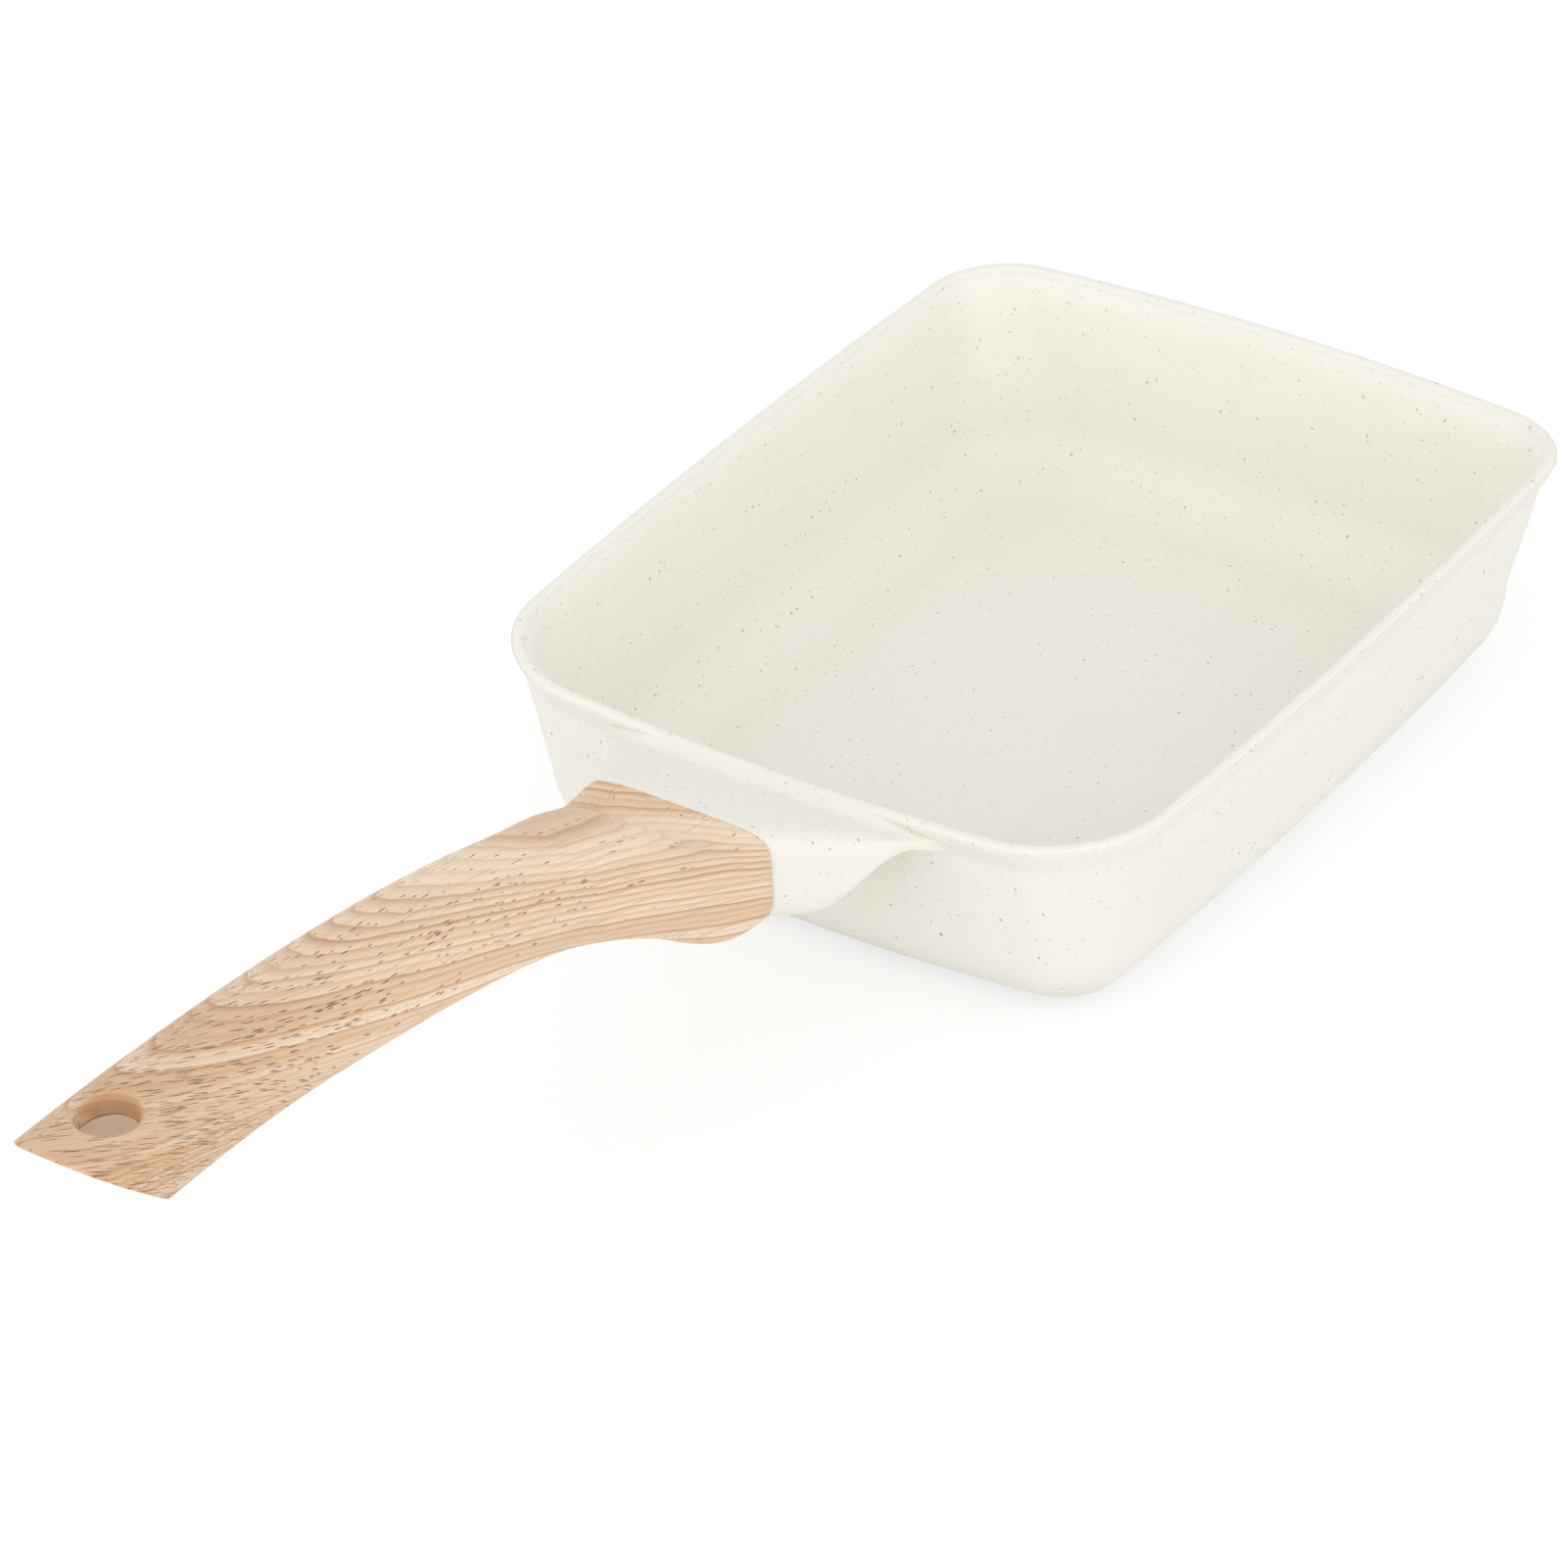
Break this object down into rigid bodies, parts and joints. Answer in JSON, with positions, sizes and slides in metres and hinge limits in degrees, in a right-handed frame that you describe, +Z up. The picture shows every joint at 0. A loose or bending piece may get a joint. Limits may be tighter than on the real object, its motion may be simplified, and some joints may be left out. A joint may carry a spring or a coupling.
{
  "type": "rectangular pan",
  "caption": "Small rectangular frying pan with a flared lip, a cast bracket under the rim, an arched wood-look handle with a hanging hole, and a perforated base plate",
  "frame": {"origin": "the centre of the base plate's underside, which the pan stands on, under the middle of the rim", "axes": "+Z points up out of the mouth; the handle points along -Y; +X is to the right when looking along +Y"},
  "size_m": [0.15, 0.3897, 0.0876],
  "materials": {
    "coated_aluminium": "matte",
    "stainless_plate": "satin",
    "wood_look_resin": "matte",
    "plated_steel": "satin"
  },
  "bodies": {
    "root": {"pan_body": "coated_aluminium", "base_plate": "stainless_plate", "handle": "wood_look_resin", "flat_washer": "plated_steel", "spring_washer": "plated_steel", "handle_screw": "plated_steel"}
  },
  "joints": []
}
